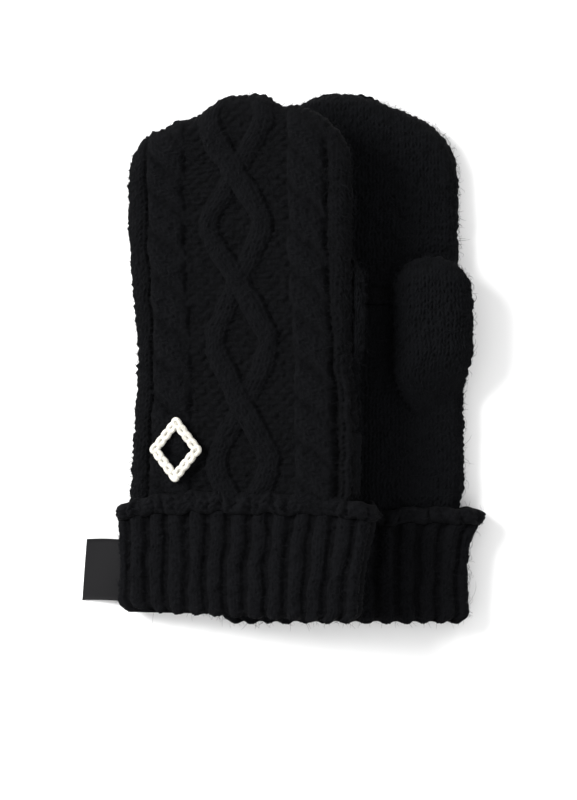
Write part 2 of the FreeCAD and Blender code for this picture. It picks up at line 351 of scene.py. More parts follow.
def right_proud(u, normal_w):
    """The same for the right cuff, away from where the left mitten lies on it."""
    return smoothstep(-normal_w * 2) * rising(u, start=13, length=9)


def left_unpressed(u, normal_w):
    """1 where the rolled edge keeps its full height, and 0 where the other mitten presses on it."""
    return smoothstep(1 + 2 * normal_w)


def right_unpressed(u, normal_w):
    """The same for the right cuff, which the floor presses on too."""
    return smoothstep(1 - 2 * normal_w) * rising(u, start=2, length=10)


# How each cuff lies. thumb_lean and outer_lean are how far its two sides stand out at the rolled edge,
# and lean_power how suddenly. fan is how much the ribs spread towards the top, past fan_from. roll_rise
# lifts the rolled edge. roll_drop is how much lower its sides are than its middle, and roll_top_drop how
# much lower still its top is there. fold_rise is how much higher the fold lies at the little finger's side.
LEFT_CUFF = SimpleNamespace(
    thumb_lean=0.0, outer_lean=0.3, lean_power=8, fan=0.062, fan_from=-32.0,
    roll_rise=2.9, roll_drop=4.3, roll_top_drop=2.8, roll_height=10.4, fold_rise=3.2,
    proud=left_proud, unpressed=left_unpressed,
)
RIGHT_CUFF = SimpleNamespace(
    thumb_lean=5.0, outer_lean=0.0, lean_power=9, fan=0.0, fan_from=0.0,
    roll_rise=-0.6, roll_drop=0.8, roll_top_drop=0.0, roll_height=7.6, fold_rise=0.0,
    proud=right_proud, unpressed=right_unpressed,
)

# The right mitten lies square to the floor, so its CAD boxes give the sizes of both.
back_low, back_high = box_mm("right_hand_back")
palm_low, palm_high = box_mm("right_hand_palm")
cuff_low, cuff_high = box_mm("right_cuff_turnup")
HALF_WIDTH = (back_high[0] - back_low[0]) / 2
BACK = back_high[2] - back_low[2]
PALM = palm_high[2] - palm_low[2]
CUFF_HALF = (cuff_high[0] - cuff_low[0]) / 2
CUFF_PALM = cuff_high[2] - cuff_low[2] - BACK

right = Mitten(
    "right", across=(1, 0, 0), out=(0, 0, -1),
    origin=np.array(((back_low[0] + back_high[0]) / 2, cuff_low[1], BACK)),
    lie=right_lie, cuff=RIGHT_CUFF, relief_inset=3.4, shows_gusset=False,
)
HINGE_RISE = right.origin[2] - hinge_mm("right_flip")[2]
KNUCKLES = hinge_mm("right_flip")[1] - right.origin[1]

# The left mitten leans on the right one, so its frame comes from its flip-top's hinge.
left_across = np.array(joint("left_flip")["axis"])
left_out = np.array((-left_across[2], 0, left_across[0]))
left = Mitten(
    "left", left_across, left_out,
    origin=hinge_mm("left_flip") - KNUCKLES * Mitten.along - HINGE_RISE * left_out,
    lie=left_lie, cuff=LEFT_CUFF, relief_inset=1.2, shows_gusset=True,
)


# ---------------------------------------------------------------- knitting as heights

# the usual numbers that turn two indices into a random-looking one
HASH_COLUMN = 12.9898
HASH_ROW = 78.233
HASH_SCALE = 43758.5453


def uneven(column_index, row_index):
    """A repeatable number from 0 to 1 for each stitch."""
    return np.mod(np.sin(HASH_COLUMN * column_index + HASH_ROW * row_index) * HASH_SCALE, 1)


def soft_noise(x, y, size, seed=0):
    """Smooth, repeatable unevenness from -1 to 1, in lumps about this size."""
    x, y = x / size, y / size
    i, j = np.floor(x), np.floor(y)
    across, along = smoothstep(x - i), smoothstep(y - j)
    low = uneven(i, j + seed) * (1 - across) + uneven(i + 1, j + seed) * across
    high = uneven(i, j + 1 + seed) * (1 - across) + uneven(i + 1, j + 1 + seed) * across
    return 2 * (low * (1 - along) + high * along) - 1


def handmade(u, v, seed=0):
    """Shifts in mm across and along, that keep the knitting from looking like a machine's."""

    def shift(seed_coarse, seed_fine):
        coarse = COARSE_SHIFT * soft_noise(u, v, size=6.5, seed=seed + seed_coarse)
        return coarse + FINE_SHIFT * soft_noise(u, v, size=2.3, seed=seed + seed_fine)

    return shift(0, 31), shift(57, 93)


def fuzz(u, v):
    """The felted surface between and over the stitches."""
    fine = soft_noise(u, v, size=1.5, seed=11)
    return FUZZ_RELIEF * (fine + COARSE_FUZZ * soft_noise(u, v, size=3.7, seed=17))


def v_stitches(across, along, column):
    """Plain knitting, 0 to about 1: columns of V stitches, each of two leaning legs."""
    place = np.mod(across / column, 1) - 0.5
    leg = np.sqrt(dome(4 * (np.abs(place) - 0.25)))
    lean = along / ROW - 2 * LEG_LEAN * np.abs(place)
    tension = uneven(np.floor(across / column), np.floor(lean))
    height = STITCH_JOIN + (1 - STITCH_JOIN) * np.abs(np.sin(np.pi * lean)) ** STITCH_FULLNESS
    return leg * height * (STITCH_LEAST + STITCH_GAIN * tension)


def moss_bumps(across, along, column, row=ROW):
    """Moss stitch, 0 to about 1: purl bumps on a chequerboard."""
    shift = 0.5 * np.mod(np.floor(along / row), 2)
    x = np.mod(across / (2 * column) + shift, 1) - 0.5
    y = np.mod(along / row, 1) - 0.5
    tension = uneven(np.floor(across / (2 * column) + shift), np.floor(along / row) + 7)
    bump = np.sqrt(np.clip(1 - (MOSS_TIGHTNESS[0] * x) ** 2 - (MOSS_TIGHTNESS[1] * y) ** 2, 0, 1))
    return bump * (MOSS_LEAST + MOSS_GAIN * tension)


def strand(u, v, path, slope, half, lift):
    """One cable strand's height in mm: a crowned band of V stitches that follows its path."""
    offset = (u - path) / np.hypot(1, slope)
    crown = np.sqrt(dome(offset / half))
    stitch = v_stitches(offset + half, v, 2 * half / LOZENGE_COLUMNS) * STITCH_RELIEF * np.sqrt(crown)
    height = CABLE_RELIEF * crown + CROSSING_LIFT * lift + stitch
    return np.where(np.abs(offset) < half, height, NO_CABLE)


def rope(u, v, centre):
    """A rope cable: a straight-sided band of strands that cross it one after another, like a \\."""
    x = (u - centre) / ROPE_HALF
    turn = v / ROPE_PITCH + np.arcsin(np.clip(x, -ROPE_SIDE, ROPE_SIDE)) / np.pi
    crown = np.abs(np.sin(np.pi * turn)) ** ROPE_ROUNDNESS
    cosine, sine = math.cos(ROPE_LEAN), math.sin(ROPE_LEAN)
    across = np.mod(turn, 1) * ROPE_PITCH * cosine
    along = (u - centre) * cosine - v * sine
    stitch = v_stitches(across, along, ROPE_PITCH * cosine / ROPE_COLUMNS)
    height = ROPE_RISE + CABLE_RELIEF * crown + ROPE_STITCH * STITCH_RELIEF * stitch * crown
    return np.where(np.abs(x) < 1, height * np.sqrt(dome(x, power=4)), NO_CABLE)


def lozenge(u, v):
    """The middle cable: two strands that part and cross again round moss-stitch lozenges."""
    turn = np.pi * np.interp(v, LOZENGE_CROSSINGS, range(len(LOZENGE_CROSSINGS))) + np.pi / 2
    pitch = np.gradient(np.array(LOZENGE_CROSSINGS)).mean()
    full = math.asin(LOZENGE_SHARPNESS)
    wave = np.arcsin(LOZENGE_SHARPNESS * np.cos(turn)) / full
    steep = -LOZENGE_SHARPNESS * np.sin(turn)
    steep = steep / np.sqrt(1 - (LOZENGE_SHARPNESS * np.cos(turn)) ** 2) / full
    sides = []
    for sign in (1, -1):
        path = LOZENGE_CENTRE + sign * LOZENGE_SWING * wave
        slope = sign * LOZENGE_SWING * steep * np.pi / pitch
        sides.append(strand(u, v, path, slope, LOZENGE_HALF, sign * np.sin(turn)))
    return np.maximum(*sides)


def gusset_ridges(u, v):
    """The coarser ridges beside the hand, in mm, where the thumb's widening is knitted in."""
    start = rising(u, GUSSET_EDGE, length=2)
    ridge = 0.5 * GUSSET_RELIEF * np.cos(2 * np.pi * u / GUSSET_PITCH) * start
    valley = GUSSET_RELIEF * hump(u, GUSSET_EDGE - 0.5, width=1.7)
    return (ridge - valley) * (1 - rising(v, GUSSET_TOP, length=12))


def drifted(u, v):
    """u in the pattern, whose middle and thumb side lie further across the hand below the knuckles."""
    below = 1 - rising(v, start=110, length=75)
    inside = rising(u, start=-45, length=30) * (1 - rising(u, start=44, length=9.5))
    return u - PATTERN_DRIFT * below * inside


def back_relief(u, v, across, column):
    """The back's height in mm: cables and lozenges on moss stitch, between plain side panels."""
    u = drifted(u, v)
    ground = MOSS_RELIEF * moss_bumps(u, v, column)
    plain = STITCH_RELIEF * v_stitches(across, v, column) + SIDE_PANEL_RISE
    height = np.where(np.abs(u) > SIDE_PANEL, plain, ground)
    for cable in (rope(u, v, LEFT_ROPE), rope(u, v, RIGHT_ROPE), lozenge(u, v)):
        height = np.maximum(height, cable)
    return height - GROOVE_DEPTH * hump(np.abs(u), SIDE_PANEL, GROOVE_WIDTH)


def plain_relief(u, v, across, column):
    """Plain knitting's height in mm."""
    return STITCH_RELIEF * v_stitches(across, v, column)


def rib_relief(u, v, across, column):
    """The hem's height in mm: two columns knit, two purled."""
    rib = 0.5 + 0.5 * np.cos(np.pi * across / column / 2)
    return HEM_RELIEF * rib + HEM_RELIEF * v_stitches(across, v, column)


# ---------------------------------------------------------------- outlines and meshes


class Outline:
    """Straight sides closed by a dome of three arcs, with the distance in from its edge."""

    def __init__(self, half, dome_start, corner, drop, middle=0.0):
        self.half = half
        self.dome_start = dome_start
        self.corner = corner
        self.middle = middle
        self.corner_x = half - corner
        self.crown_y = dome_start - drop
        self.crown = corner + math.hypot(self.corner_x, drop)
        self.turn = math.atan2(drop, self.corner_x)
        self.join = self.crown * math.cos(self.turn)

    def top(self, u):
        """How far along v the outline reaches."""
        x = np.abs(u - self.middle)
        on_corner = self.dome_start + np.sqrt(np.clip(self.corner**2 - (x - self.corner_x) ** 2, 0, None))
        on_crown = self.crown_y + np.sqrt(np.clip(self.crown**2 - x**2, 0, None))
        return np.where(x > self.join, on_corner, on_crown)

    def inward(self, u, v):
        """Distance in from the edge, and the unit direction out to the edge."""
        x = np.abs(u - self.middle)
        sign = np.sign(u - self.middle)
        cx, cy = x - self.corner_x, v - self.dome_start
        to_corner = np.hypot(cx, cy) + 1e-9
        to_crown = np.hypot(x, v - self.crown_y) + 1e-9
        straight = v < self.dome_start
        in_corner = ~straight & (np.arctan2(cy, cx) < self.turn)
        depth = np.where(in_corner, self.corner - to_corner, self.crown - to_crown)
        depth = np.where(straight, self.half - x, depth)
        out_u = np.where(in_corner, cx / to_corner, x / to_crown)
        out_u = np.where(straight, 1.0, out_u) * sign
        out_v = np.where(in_corner, cy / to_corner, (v - self.crown_y) / to_crown)
        out_v = np.where(straight, 0.0, out_v)
        return np.clip(depth, 0, None), out_u, out_v


def from_edge(arc, edge):
    """How far in from the edge a point is, after going this far along the rounded side."""
    quarter = edge * math.pi / 2
    rounded = edge * (1 - np.cos(np.clip(arc / edge, 0, math.pi / 2)))
    return np.where(arc < quarter, rounded, edge + arc - quarter)


def cell_count(length, sample, least=1):
    """How many fine cells cover a length: a whole number of the inner surface's wider ones."""
    return INNER_STRIDE * max(least, math.ceil(length / sample / INNER_STRIDE))


def panel_grid(outline, edge, start, end, sample):
    """u, v and the distance round from the middle for a panel's grid. With no end it fills the dome."""
    half_arc = outline.half - edge + edge * math.pi / 2
    columns = cell_count(2 * half_arc, sample) + 1
    around = np.linspace(-half_arc, half_arc, columns)
    u = outline.middle + np.sign(around) * (outline.half - from_edge(half_arc - np.abs(around), edge))
    top = outline.top(u) if end is None else np.full(columns, float(end))
    rows = cell_count(top.max() - start, sample, least=2) + 1
    share = np.linspace(0, 1, rows)[:, None]
    if end is None:
        length = top - start - edge + edge * math.pi / 2
        v = top - from_edge(length * (1 - share), edge)
    else:
        v = start + (top - start) * share
    return np.broadcast_to(u, v.shape), v, np.broadcast_to(around, v.shape)


def faced(outline, u, v, edge, height):
    """The rounded face over an outline: its w, its normal, and the distance in from the edge."""
    depth, out_u, out_v = outline.inward(u, v)
    angle = np.arccos(np.clip(1 - depth / edge, 0, 1))
    flat, rise = height * np.cos(angle), edge * np.sin(angle)
    size = np.hypot(flat, rise)
    return height * np.sin(angle), out_u * flat / size, out_v * flat / size, rise / size, depth


def strip(fine, coarse):
    """Faces that join a fine edge to a coarse one."""
    return [
        [*fine[k * INNER_STRIDE : (k + 1) * INNER_STRIDE + 1], coarse[k + 1], coarse[k]]
        for k in range(len(coarse) - 1)
    ]


def quads(index, wrap=False):
    """Four-sided faces between a grid's points, closed round the columns if it wraps."""
    if wrap:
        index = np.concatenate([index, index[:, :1]], axis=1)
    corners = (index[:-1, :-1], index[:-1, 1:], index[1:, 1:], index[1:, :-1])
    return np.stack(corners, axis=-1).reshape(-1, 4).tolist()


def new_piece(name, mesh):
    """A smooth-shaded object in the scene."""
    mesh.shade_smooth()
    piece = bpy.data.objects.new(name, mesh)
    bpy.context.scene.collection.objects.link(piece)
    return piece


def face_outwards(mesh):
    """Turns all the faces the same way out."""
    work = bmesh.new()
    work.from_mesh(mesh)
    bmesh.ops.recalc_face_normals(work, faces=work.faces)
    work.to_mesh(mesh)
    work.free()


def store_relief(mesh, relief, inner_count):
    """Keeps how high each point stands, 0 to 1, from which the wool paints shade between the stitches."""
    # this tone drives the painted shade between the stitches in the wool's colour
    low, high = np.percentile(relief, (4, 96))
    tone = np.clip((relief.ravel() - low) / max(high - low, 0.1), 0, 1)
    depth = mesh.attributes.new("relief", "FLOAT", "POINT")
    depth.data.foreach_set("value", np.append(tone, np.full(inner_count, 0.5)).astype(np.float32))


def shell_piece(name, outer, inner, relief, wrap=False):
    """A knitted shell: a fine outer grid, a coarse inner one, and strips round the open edges."""
    inner = inner[::INNER_STRIDE, ::INNER_STRIDE]
    fine = np.arange(outer.shape[0] * outer.shape[1]).reshape(outer.shape[:2])
    coarse = fine.size + np.arange(inner.shape[0] * inner.shape[1]).reshape(inner.shape[:2])
    faces = quads(fine, wrap) + quads(coarse[:, ::-1], wrap)
    for row in (0, -1):
        edges = [fine[row], coarse[row]]
        if wrap:
            edges = [np.append(edge, edge[0]) for edge in edges]
        faces += strip(edges[0].tolist(), edges[1].tolist())
    if not wrap:
        for column in (0, -1):
            faces += strip(fine[:, column].tolist(), coarse[:, column].tolist())
    mesh = bpy.data.meshes.new(name)
    mesh.from_pydata(np.concatenate([outer.reshape(-1, 3), inner.reshape(-1, 3)]), [], faces)
    store_relief(mesh, relief, coarse.size)
    face_outwards(mesh)
    return new_piece(name, mesh)


# a knitted piece, with the grids of its outer and inner surfaces in metres
Knitting = namedtuple("Knitting", "name piece outer inner")


def loose_fibres(knitting):
    """Loose wool fibres that stand up from a knitted surface and curl over, as a piece of their own."""
    rng = np.random.default_rng(sum(map(ord, knitting.name)))
    outer = knitting.outer
    rows, columns = outer.shape[:2]
    diagonal = np.linalg.norm(outer[1:, 1:] - outer[:-1, :-1], axis=-1).mean() / MM
    square_cm = rows * columns * diagonal**2 / 2 / SQUARE_MM_PER_SQUARE_CM
    count = int(square_cm * FIBRES_PER_SQUARE_CM)
    row = rng.integers(FIBRE_MARGIN, rows - FIBRE_MARGIN, count)
    column = rng.integers(FIBRE_MARGIN, columns - FIBRE_MARGIN, count)
    root = outer[row, column] / MM
    out = root - knitting.inner[row, column] / MM
    out /= np.linalg.norm(out, axis=1)[:, None]
    aside = np.cross(out, rng.normal(size=(count, 3)))
    aside /= np.linalg.norm(aside, axis=1)[:, None]
    turned = np.cross(out, aside)
    length = rng.uniform(*FIBRE_LENGTH, count)
    bow = rng.uniform(*FIBRE_BOW, count) * length
    rise = rng.uniform(*FIBRE_RISE, count) * length
    length[::STRAY_EVERY] *= STRAY_STRETCH

    steps = np.linspace(0, 1, FIBRE_STEPS)
    paths = (
        root[:, None]
        + (length[:, None] * steps)[..., None] * aside[:, None]
        + (rise[:, None] * np.sin(np.pi * steps * FIBRE_CURL))[..., None] * out[:, None]
        + (bow[:, None] * steps**2)[..., None] * turned[:, None]
    )
    angles = np.linspace(0, 2 * np.pi, FIBRE_SIDES, endpoint=False)
    section_out = np.cos(angles)[:, None] * out[:, None] + np.sin(angles)[:, None] * turned[:, None]
    radius = FIBRE_RADIUS * (1 - FIBRE_TAPER * steps)
    rings = paths[:, :, None] + radius[None, :, None, None] * section_out[:, None]
    rings[..., 2] = np.maximum(rings[..., 2], FLOOR_CLEARANCE)

    corner = np.arange(count * FIBRE_STEPS * FIBRE_SIDES).reshape(rings.shape[:3])
    following = np.roll(corner, -1, axis=2)
    sides = np.stack([corner[:, :-1], following[:, :-1], following[:, 1:], corner[:, 1:]], axis=-1)
    ends = np.concatenate([corner[:, 0, ::-1], corner[:, -1]])
    mesh = bpy.data.meshes.new(knitting.name + "_fibres")
    mesh.from_pydata(rings.reshape(-1, 3) * MM, [], sides.reshape(-1, 4).tolist() + ends.tolist())
    return new_piece(mesh.name, mesh)


def flattened(lift, v, depth, outline):
    """The knitting's height near its edge, where it is stretched."""
    at_tip = rising(v, outline.dome_start - TIP_BLEND / 2, TIP_BLEND)
    at_edge = 1 - smoothstep(depth / (EDGE_REACH + TIP_EDGE_REACH * at_tip))
    return lift * (1 - at_edge * (EDGE_FLATTENED + TIP_FLATTENED * at_tip))


def knit_panel(
    mitten, name, outline, face, edge, height, start, end, relief, columns, inset=0.0, shape=None
):
    """One face of a flattened tube. face is 1 towards the back of the hand and -1 towards the palm."""
    sample = BACK_SAMPLE if relief is back_relief else PALM_SAMPLE
    u, v, around = panel_grid(outline, edge, start, end, sample)
    column = np.abs(around).max() / columns
    across, along = handmade(u, v, face + len(name))
    w, normal_u, normal_v, normal_w, depth = faced(outline, u, v, edge, height - inset)
    lift = relief(u - outline.middle + across, v + along, around + across, column) + fuzz(u, v)
    if mitten.shows_gusset:
        lift = lift + gusset_ridges(u - outline.middle + across, v)
    lift = flattened(lift, v, depth, outline)
    lift = lift + EDGE_FUZZ * (1 - smoothstep(depth / 3)) * soft_noise(around, v, size=1.4, seed=77)
    tucked = 1 - rising(v, TUCK_TOP - TUCK_LENGTH, TUCK_LENGTH)
    lift = lift * (1 - tucked) - TUCK_DEPTH * tucked
    shift, middle, scale = shape(u, v) if shape else (0.0, 0.0, 1.0)

    def surface(offset):
        return (
            u + shift + normal_u * offset,
            v + normal_v * offset,
            middle + face * scale * (w + normal_w * offset),
        )

    outer = mitten.place(*surface(lift))
    inner = mitten.place(*surface(lift.clip(None, 0) - FABRIC))
    name = mitten.name(name)
    return Knitting(name, shell_piece(name, outer, inner, lift), outer, inner)


# ---------------------------------------------------------------- materials


def new_material(name):
    """A material with its nodes, links and shader."""
    material = bpy.data.materials.new(name)
    material.use_nodes = True
    nodes = material.node_tree.nodes
    return material, nodes, material.node_tree.links, nodes["Principled BSDF"]


def add_noise(nodes, links, place, scale, detail, roughness=0.5):
    """A noise texture fixed to the object."""
    noise = nodes.new("ShaderNodeTexNoise")
    noise.inputs["Scale"].default_value = scale
    noise.inputs["Detail"].default_value = detail
    noise.inputs["Roughness"].default_value = roughness
    links.new(place.outputs["Object"], noise.inputs["Vector"])
    return noise.outputs["Fac"]


def add_ramp(nodes, links, value, shader, dark, light, start=0.0, end=1.0):
    """Colours the shader from dark to light as a value goes from start to end."""
    ramp = nodes.new("ShaderNodeValToRGB")
    for element, position, colour in zip(ramp.color_ramp.elements, (start, end), (dark, light)):
        element.position = position
        element.color = (*colour, 1)
    links.new(value, ramp.inputs["Fac"])
    links.new(ramp.outputs["Color"], shader.inputs["Base Color"])


def add_bump(nodes, links, height, shader, strength, distance):
    """Roughens the shader's surface. The distance is in metres."""
    bump = nodes.new("ShaderNodeBump")
    bump.inputs["Strength"].default_value = strength
    bump.inputs["Distance"].default_value = distance
    links.new(height, bump.inputs["Height"])
    links.new(bump.outputs["Normal"], shader.inputs["Normal"])


def wool(name, dark, light, sheen, groove_shade=0.45):
    """Wool yarn: painted shade between the stitches, uneven dye, a fibrous surface and a faint halo."""
    material, nodes, links, shader = new_material(name)
    place = nodes.new("ShaderNodeTexCoord")
    relief = nodes.new("ShaderNodeAttribute")
    relief.attribute_name = "relief"
    dye = add_noise(nodes, links, place, scale=420, detail=6)
    # painted shade: the colour darkens where the stored relief is low, between the stitches, and the uneven
    # dye is added to it
    tone = nodes.new("ShaderNodeMath")
    tone.operation = "MULTIPLY_ADD"
    tone.inputs[1].default_value = groove_shade
    links.new(relief.outputs["Fac"], tone.inputs[0])
    links.new(dye, tone.inputs[2])
    add_ramp(nodes, links, tone.outputs["Value"], shader, dark, light, start=0.35, end=0.85)
    hair = add_noise(nodes, links, place, scale=1300, detail=8, roughness=0.7)
    add_bump(nodes, links, hair, shader, strength=0.7, distance=0.0006)
    shader.inputs["Roughness"].default_value = 0.92
    shader.inputs["Specular IOR Level"].default_value = 0.068
    shader.inputs["Sheen Weight"].default_value = sheen
    shader.inputs["Sheen Roughness"].default_value = 0.45
    shader.inputs["Sheen Tint"].default_value = (0.62, 0.62, 0.68, 1)
    return material


def satin():
    """Woven label satin: close threads across a dark ground, with a soft shine."""
    material, nodes, links, shader = new_material("label_satin")
    place = nodes.new("ShaderNodeTexCoord")
    threads = nodes.new("ShaderNodeTexWave")
    threads.bands_direction = "Y"
    threads.inputs["Scale"].default_value = 900
    threads.inputs["Distortion"].default_value = 1.5
    links.new(place.outputs["Object"], threads.inputs["Vector"])
    dark, light = (0.0015, 0.0014, 0.0018), (0.0034, 0.0032, 0.004)
    add_ramp(nodes, links, threads.outputs["Fac"], shader, dark, light)
    add_bump(nodes, links, threads.outputs["Fac"], shader, strength=0.25, distance=0.0001)
    shader.inputs["Roughness"].default_value = 0.55
    shader.inputs["Specular IOR Level"].default_value = 0.09
    return material


# each wool's name, colour between the stitches and on them (the first darker as painted shade in the
# grooves, both mixed with uneven dye), sheen, and how strongly the painted shade follows the relief
BLACK_WOOL = wool("black_wool", (0.0005, 0.00055, 0.0007), (0.0016, 0.0017, 0.0022), 0.003, 0.55)
PLAIN_WOOL = wool("plain_black_wool", (0.0006, 0.0007, 0.0009), (0.002, 0.0022, 0.0028), 0.003, 0.7)
RIB_WOOL = wool("rib_black_wool", (0.0007, 0.0007, 0.001), (0.0021, 0.0022, 0.0028), 0.004, 0.4)
# the loose fibres are the same black wool, painted lighter than the yarn as a painted highlight for the
# light they catch
HIGHLIT_LOOSE_WOOL = wool("loose_wool_fibre", (0.0025, 0.0027, 0.0034), (0.0075, 0.008, 0.0095), 0.015)
CHAIN_YARN = wool("off_white_yarn", (0.4, 0.385, 0.34), (0.72, 0.7, 0.64), 0.1)


def dress(piece, material, slot, body, *nodes):
    """Gives a piece its material, body and the CAD nodes that it stands for. The slot, its finish, is not
    used.
    """
    piece.data.materials.append(material)
    if body:
        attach(piece, body)
    if nodes:
        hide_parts(*nodes)
    return piece


# ---------------------------------------------------------------- hand, cap and thumb

HAND = Outline(HALF_WIDTH, DOME_START, DOME_CORNER, DOME_DROP)
THUMB = Outline(THUMB_HALF, THUMB_DOME_START, THUMB_CORNER, THUMB_DROP, THUMB_CENTRE)


def blend_ends(mitten, u, w, places):
    """World points at two places along v."""
    return [mitten.place(*(np.array(x) for x in (u, v, w))) for v in places]


def make_back(mitten):
    """The cable-knit back, in one piece over the knuckles."""
    back = knit_panel(
        mitten, "back_cables", HAND, 1, BACK, BACK, PANEL_START, None,
        back_relief, COLUMNS_PER_HALF, mitten.relief_inset,
    )
    dress(back.piece, BLACK_WOOL, "cable_wool", None, mitten.name("hand_back"), mitten.name("cap_back"))
    fibres = dress(loose_fibres(back), HIGHLIT_LOOSE_WOOL, "cable_wool", None)
    ends = blend_ends(mitten, 0.0, BACK, (KNUCKLES - FLIP_BLEND, KNUCKLES + FLIP_BLEND))
    for piece in (back.piece, fibres):
        mitten.name("hand")
        mitten.name("cap")
        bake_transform(piece)


def make_palm(mitten):
    """The plain palm of the hand, and the flip-top's ribbed hem and plain palm."""
    hem_end = KNUCKLES + HEM_LENGTH
    stretches = (
        ("hand_palm", "hand", PANEL_START, KNUCKLES - HEM_GAP, plain_relief, PLAIN_WOOL, "plain_wool"),
        ("cap_hem", "cap", KNUCKLES + HEM_GAP, hem_end, rib_relief, RIB_WOOL, "rib_wool"),
        ("cap_palm", "cap", hem_end, None, plain_relief, PLAIN_WOOL, "plain_wool"),
    )
    for node, body, start, end, relief, material, slot in stretches:
        panel = knit_panel(
            mitten, f"{node}_knit", HAND, -1, PALM, PALM, start, end,
            relief, COLUMNS_PER_HALF, PALM_INSET,
        )
        dress(panel.piece, material, slot, mitten.name(body), mitten.name(node))
        dress(loose_fibres(panel), HIGHLIT_LOOSE_WOOL, slot, mitten.name(body))


def join(pieces, name):
    """One object from several."""
    with bpy.context.temp_override(
        active_object=pieces[0], selected_editable_objects=pieces, object=pieces[0]
    ):
        bpy.ops.object.join()
    pieces[0].name = name
    pieces[0].data.name = name
    return pieces[0]


def make_thumb(mitten, free_height, edge_lift):
    """A closed thumb that grows out of the palm and lies along it, its outer edge lifted a little."""

    def grown(u, v):
        """Towards its base the thumb narrows from both sides and sinks into the palm."""
        inner = np.clip((THUMB_CENTRE + THUMB_HALF - u) / (2 * THUMB_HALF), 0, 1)
        inner_share = rising(v, THUMB_BASE, THUMB_BLEND)
        outer_share = rising(v, THUMB_ROOT, THUMB_OUTER_BLEND)
        share = inner_share * inner + outer_share * (1 - inner)
        narrower = THUMB_TAPER * inner * (1 - inner_share)
        narrower = narrower - THUMB_OUTER_TAPER * (1 - inner) * (1 - outer_share)
        lifted = edge_lift * rising(u, THUMB_CENTRE + THUMB_EDGE_BLEND, THUMB_EDGE_BLEND)
        middle = THUMB_MID + lifted
        sunk = middle + (1 - share) * (THUMB_SINK - PALM - middle)
        return narrower, sunk, THUMB_ROOT_SHARE + (1 - THUMB_ROOT_SHARE) * share

    halves, loose = [], []
    for face, height in ((1, THUMB_HEIGHT), (-1, free_height)):
        half = knit_panel(
            mitten, f"thumb_half_{len(halves)}", THUMB, face, THUMB_EDGE, height, THUMB_BASE, None,
            plain_relief, THUMB_COLUMNS_PER_HALF, shape=grown,
        )
        halves.append(half.piece)
        loose.append(loose_fibres(half))
    thumb = join(halves, mitten.name("thumb_knit"))
    dress(thumb, PLAIN_WOOL, "plain_wool", None, mitten.name("thumb"))
    fibres = dress(join(loose, mitten.name("thumb_fibres")), HIGHLIT_LOOSE_WOOL, "plain_wool", None)
    ends = blend_ends(mitten, THUMB_CENTRE, -PALM, THUMB_HINGE_BLEND)
    for piece in (thumb, fibres):
        mitten.name("hand")
        mitten.name("thumb")
        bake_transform(piece)


# ---------------------------------------------------------------- cuff, wrist and half fingers


def section(half, back, palm, count, middle=0.0):
    """A flattened tube's section: points and outward normals evenly spaced round it."""
    fine = np.linspace(0, math.pi / 2, 40)
    corners = (
        (half - back, back, 0.0),
        (back - half, back, math.pi / 2),
        (palm - half, palm, math.pi),
        (half - palm, palm, 1.5 * math.pi),
    )
    path = np.concatenate(
        [np.stack([x + r * np.cos(fine + a), r * np.sin(fine + a)], axis=1) for x, r, a in corners]
    )
    path = np.vstack([path, path[:1]])
    length = np.concatenate([[0], np.cumsum(np.hypot(*np.diff(path, axis=0).T))])
    at = np.linspace(0, length[-1], count, endpoint=False)
    u = np.interp(at, length, path[:, 0])
    w = np.interp(at, length, path[:, 1])
    tangent = np.stack([np.roll(u, -1) - np.roll(u, 1), np.roll(w, -1) - np.roll(w, 1)])
    tangent /= np.hypot(*tangent)
    return u + middle, w, tangent[1], -tangent[0], at, length[-1]


def knit_tube(mitten, name, sizes, start, end, relief, layer, middle=0.0, sample=BACK_SAMPLE, bend=None):
    """A ring of knitting round a flattened tube. relief takes u, v, w-normal, the arc and its length."""
    rough_length = 4 * sizes[0]
    count = cell_count(rough_length, sample)
    u, w, normal_u, normal_w, arc, length = section(*sizes, count, middle)
    rows = cell_count(end - start, sample) + 1
    v = np.linspace(start, end, rows)[:, None] * np.ones(count)
    u, w, normal_u, normal_w, arc = (
        np.broadcast_to(a, v.shape) for a in (u, w, normal_u, normal_w, arc)
    )
    lift = relief(u, v, normal_w, arc, length)

    def surface(offset):
        points = u + normal_u * offset, v, w + normal_w * offset
        return bend(*points, normal_w, lift) if bend else points

    outer = mitten.place(*surface(lift))
    inner = mitten.place(*surface(lift.clip(None, 0) - layer))
    name = mitten.name(name)
    return Knitting(name, shell_piece(name, outer, inner, lift, wrap=True), outer, inner)


def rib_ridge(arc, length):
    """1 on the crown of a rib and 0 in the narrow valley between two."""
    count = round(length / RIB_PITCH)
    place = np.mod(arc * count / length, 1) - 0.5
    return np.sqrt(dome(place / RIB_HALF))


